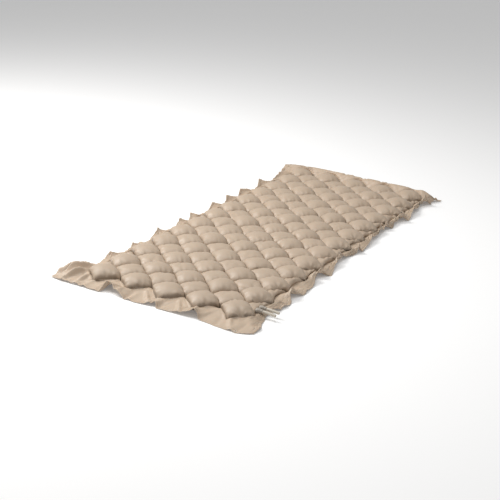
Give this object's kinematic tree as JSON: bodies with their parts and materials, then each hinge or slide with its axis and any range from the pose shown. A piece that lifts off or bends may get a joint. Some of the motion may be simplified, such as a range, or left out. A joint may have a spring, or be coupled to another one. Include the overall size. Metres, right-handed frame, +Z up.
{
  "type": "pressure relief mattress",
  "caption": "Alternating-pressure mattress pad: two welded films forming a staggered field of rhombic air cells, with a draped border, a hem and short air inlet tubes.",
  "frame": {"origin": "on the bed under the middle of the mattress", "axes": "+X towards the head end, +Y towards the long side away from the inlet tubes, +Z up"},
  "size_m": [1.914, 0.85, 0.0514],
  "materials": {
    "film_crown": "soft semi-matte vinyl film",
    "film_underside": "soft semi-matte vinyl film",
    "film_seam": "welded vinyl, slightly glossier than the film",
    "film_border": "soft semi-matte vinyl film",
    "collar_film": "welded vinyl sleeve",
    "tube_plastic": "soft cream tubing"
  },
  "bodies": {
    "mattress": {"cell_undersides_a": "film_underside", "cell_undersides_b": "film_underside", "air_channels_a": "film_seam", "air_channels_b": "film_seam", "top_film_web": "film_seam", "bottom_film_web": "film_seam", "border_skirt": "film_border", "hem_border": "film_border", "perimeter_weld": "film_seam", "hem_eyelets": "film_seam", "inlet_collar_a": "collar_film", "inlet_collar_b": "collar_film", "inlet_tube_a": "tube_plastic", "inlet_tube_b": "tube_plastic"},
    "circuit_a_crowns": {"cell_row_01": "film_crown", "cell_row_03": "film_crown", "cell_row_05": "film_crown", "cell_row_07": "film_crown", "cell_row_09": "film_crown", "cell_row_11": "film_crown", "cell_row_13": "film_crown", "cell_row_15": "film_crown", "cell_row_17": "film_crown", "cell_row_19": "film_crown", "cell_row_21": "film_crown", "cell_row_23": "film_crown", "cell_row_25": "film_crown"},
    "circuit_b_crowns": {"cell_row_02": "film_crown", "cell_row_04": "film_crown", "cell_row_06": "film_crown", "cell_row_08": "film_crown", "cell_row_10": "film_crown", "cell_row_12": "film_crown", "cell_row_14": "film_crown", "cell_row_16": "film_crown", "cell_row_18": "film_crown", "cell_row_20": "film_crown", "cell_row_22": "film_crown", "cell_row_24": "film_crown"}
  },
  "joints": [
    {"name": "circuit_a_deflate", "type": "slide", "parent": "mattress", "child": "circuit_a_crowns", "axis": [0, 0, 1], "range_m": [-0.019, 0], "stiffness_N_per_m": 2500, "springref_m": 0.004, "deforming": ["cell_undersides_a"]},
    {"name": "circuit_b_deflate", "type": "slide", "parent": "mattress", "child": "circuit_b_crowns", "axis": [0, 0, 1], "range_m": [-0.019, 0], "stiffness_N_per_m": 2500, "springref_m": 0.004, "deforming": ["cell_undersides_b"]}
  ]
}
